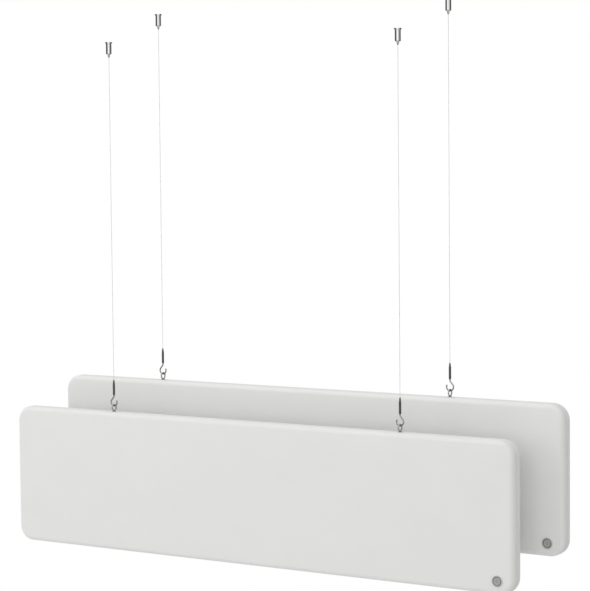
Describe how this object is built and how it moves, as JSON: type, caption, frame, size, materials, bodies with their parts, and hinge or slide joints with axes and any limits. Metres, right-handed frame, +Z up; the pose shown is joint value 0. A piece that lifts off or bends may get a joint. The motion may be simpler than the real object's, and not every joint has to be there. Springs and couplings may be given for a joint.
{
  "type": "hanging acoustic panel",
  "caption": "Staggered pair of fabric-covered acoustic panels with rounded corners, hung from ceiling ball grippers on thin steel wires with hooks and screw eyes.",
  "frame": {"origin": "on the ceiling, midway between the front unit's two ceiling screw holes", "axes": "+Z up, +X along the panels to the viewer's right, +Y from the front panel to the back panel"},
  "size_m": [1.2446, 0.1368, 1.1205],
  "materials": {
    "chrome_cap": "polished chrome plate",
    "chrome_barrel": "polished chrome plate",
    "chrome_nipple": "polished chrome plate",
    "bearing_steel": "ground",
    "spring_steel": "drawn",
    "wire_steel": "bright stranded wire",
    "dark_ferrule": "dark satin",
    "nickel_hook": "nickel plate",
    "nickel_eye": "nickel plate",
    "cover_fabric": "fine plain weave",
    "welt_fabric": "stitched edge",
    "frame_wood": "planed",
    "core_felt": "pressed felt",
    "padding_felt": "soft wadding",
    "badge_metal": "satin stamped"
  },
  "bodies": {
    "ceiling_fixings": {"front_left_ceiling_cap": "chrome_cap", "front_left_gripper_barrel": "chrome_barrel", "front_left_gripper_spring": "spring_steel", "front_left_wire_tail": "wire_steel", "front_right_ceiling_cap": "chrome_cap", "front_right_gripper_barrel": "chrome_barrel", "front_right_gripper_spring": "spring_steel", "front_right_wire_tail": "wire_steel", "back_left_ceiling_cap": "chrome_cap", "back_left_gripper_barrel": "chrome_barrel", "back_left_gripper_spring": "spring_steel", "back_left_wire_tail": "wire_steel", "back_right_ceiling_cap": "chrome_cap", "back_right_gripper_barrel": "chrome_barrel", "back_right_gripper_spring": "spring_steel", "back_right_wire_tail": "wire_steel"},
    "front_left_plunger": {"front_left_gripper_plunger": "chrome_nipple", "front_left_gripper_balls": "bearing_steel"},
    "front_left_bend": {"front_left_wire_bend": "wire_steel"},
    "front_left_wire": {"front_left_wire": "wire_steel"},
    "front_left_hook": {"front_left_ferrule": "dark_ferrule", "front_left_hook": "nickel_hook"},
    "front_right_plunger": {"front_right_gripper_plunger": "chrome_nipple", "front_right_gripper_balls": "bearing_steel"},
    "front_right_bend": {"front_right_wire_bend": "wire_steel"},
    "front_right_wire": {"front_right_wire": "wire_steel"},
    "front_right_hook": {"front_right_ferrule": "dark_ferrule", "front_right_hook": "nickel_hook"},
    "front_panel": {"front_panel_front_cover": "cover_fabric", "front_panel_back_cover": "cover_fabric", "front_panel_edge_welt": "welt_fabric", "front_panel_core_frame": "frame_wood", "front_panel_absorber_core": "core_felt", "front_panel_front_padding": "padding_felt", "front_panel_back_padding": "padding_felt", "front_panel_badge": "badge_metal", "front_left_screw_eye": "nickel_eye", "front_right_screw_eye": "nickel_eye"},
    "back_left_plunger": {"back_left_gripper_plunger": "chrome_nipple", "back_left_gripper_balls": "bearing_steel"},
    "back_left_bend": {"back_left_wire_bend": "wire_steel"},
    "back_left_wire": {"back_left_wire": "wire_steel"},
    "back_left_hook": {"back_left_ferrule": "dark_ferrule", "back_left_hook": "nickel_hook"},
    "back_right_plunger": {"back_right_gripper_plunger": "chrome_nipple", "back_right_gripper_balls": "bearing_steel"},
    "back_right_bend": {"back_right_wire_bend": "wire_steel"},
    "back_right_wire": {"back_right_wire": "wire_steel"},
    "back_right_hook": {"back_right_ferrule": "dark_ferrule", "back_right_hook": "nickel_hook"},
    "back_panel": {"back_panel_front_cover": "cover_fabric", "back_panel_back_cover": "cover_fabric", "back_panel_edge_welt": "welt_fabric", "back_panel_core_frame": "frame_wood", "back_panel_absorber_core": "core_felt", "back_panel_front_padding": "padding_felt", "back_panel_back_padding": "padding_felt", "back_panel_badge": "badge_metal", "back_left_screw_eye": "nickel_eye", "back_right_screw_eye": "nickel_eye"}
  },
  "joints": [
    {"name": "front_left_swing", "type": "hinge", "parent": "ceiling_fixings", "child": "front_left_bend", "pos_m": [-0.345, 0, -0.032], "axis": [1, 0, 0], "range_deg": [-12, 1.2]},
    {"name": "front_left_sway", "type": "hinge", "parent": "front_left_bend", "child": "front_left_wire", "pos_m": [-0.345, 0, -0.032], "axis": [0, 1, 0], "range_deg": [-6, 6]},
    {"name": "front_left_hook_turn", "type": "hinge", "parent": "front_left_wire", "child": "front_left_hook", "pos_m": [-0.345, 0, -0.7044], "axis": [0, 1, 0], "range_deg": [-6, 6]},
    {"name": "front_left_release", "type": "slide", "parent": "ceiling_fixings", "child": "front_left_plunger", "axis": [0, 0, 1], "range_m": [0, 0.002], "stiffness_N_per_m": 500, "springref_m": -0.002, "deforming": ["front_left_gripper_spring"]},
    {"name": "front_right_swing", "type": "hinge", "parent": "ceiling_fixings", "child": "front_right_bend", "pos_m": [0.345, 0, -0.032], "axis": [1, 0, 0], "range_deg": [-12, 1.2]},
    {"name": "front_right_sway", "type": "hinge", "parent": "front_right_bend", "child": "front_right_wire", "pos_m": [0.345, 0, -0.032], "axis": [0, 1, 0], "range_deg": [-6, 6]},
    {"name": "front_right_hook_turn", "type": "hinge", "parent": "front_right_wire", "child": "front_right_hook", "pos_m": [0.345, 0, -0.7044], "axis": [0, 1, 0], "range_deg": [-6, 6]},
    {"name": "front_right_release", "type": "slide", "parent": "ceiling_fixings", "child": "front_right_plunger", "axis": [0, 0, 1], "range_m": [0, 0.002], "stiffness_N_per_m": 500, "springref_m": -0.002, "deforming": ["front_right_gripper_spring"]},
    {"name": "front_panel_tilt", "type": "hinge", "parent": "front_left_hook", "child": "front_panel", "pos_m": [-0.345, 0, -0.758], "axis": [1, 0, 0], "range_deg": [-12, 1.5]},
    {"name": "back_left_swing", "type": "hinge", "parent": "ceiling_fixings", "child": "back_left_bend", "pos_m": [-0.2904, 0.1, 0.0285], "axis": [1, 0, 0], "range_deg": [-1.2, 12]},
    {"name": "back_left_sway", "type": "hinge", "parent": "back_left_bend", "child": "back_left_wire", "pos_m": [-0.2904, 0.1, 0.0285], "axis": [0, 1, 0], "range_deg": [-6, 6]},
    {"name": "back_left_hook_turn", "type": "hinge", "parent": "back_left_wire", "child": "back_left_hook", "pos_m": [-0.2904, 0.1, -0.6439], "axis": [0, 1, 0], "range_deg": [-6, 6]},
    {"name": "back_left_release", "type": "slide", "parent": "ceiling_fixings", "child": "back_left_plunger", "axis": [0, 0, 1], "range_m": [0, 0.002], "stiffness_N_per_m": 500, "springref_m": -0.002, "deforming": ["back_left_gripper_spring"]},
    {"name": "back_right_swing", "type": "hinge", "parent": "ceiling_fixings", "child": "back_right_bend", "pos_m": [0.3996, 0.1, 0.0285], "axis": [1, 0, 0], "range_deg": [-1.2, 12]},
    {"name": "back_right_sway", "type": "hinge", "parent": "back_right_bend", "child": "back_right_wire", "pos_m": [0.3996, 0.1, 0.0285], "axis": [0, 1, 0], "range_deg": [-6, 6]},
    {"name": "back_right_hook_turn", "type": "hinge", "parent": "back_right_wire", "child": "back_right_hook", "pos_m": [0.3996, 0.1, -0.6439], "axis": [0, 1, 0], "range_deg": [-6, 6]},
    {"name": "back_right_release", "type": "slide", "parent": "ceiling_fixings", "child": "back_right_plunger", "axis": [0, 0, 1], "range_m": [0, 0.002], "stiffness_N_per_m": 500, "springref_m": -0.002, "deforming": ["back_right_gripper_spring"]},
    {"name": "back_panel_tilt", "type": "hinge", "parent": "back_left_hook", "child": "back_panel", "pos_m": [-0.2904, 0.1, -0.6975], "axis": [1, 0, 0], "range_deg": [-1.5, 12]}
  ],
  "couplings": [
    {"joint": "front_left_hook_turn", "follows": "front_left_sway", "ratio": -1},
    {"joint": "front_right_hook_turn", "follows": "front_left_sway", "ratio": -1},
    {"joint": "front_right_swing", "follows": "front_left_swing", "ratio": 1},
    {"joint": "front_right_sway", "follows": "front_left_sway", "ratio": 1},
    {"joint": "back_left_hook_turn", "follows": "back_left_sway", "ratio": -1},
    {"joint": "back_right_hook_turn", "follows": "back_left_sway", "ratio": -1},
    {"joint": "back_right_swing", "follows": "back_left_swing", "ratio": 1},
    {"joint": "back_right_sway", "follows": "back_left_sway", "ratio": 1}
  ]
}
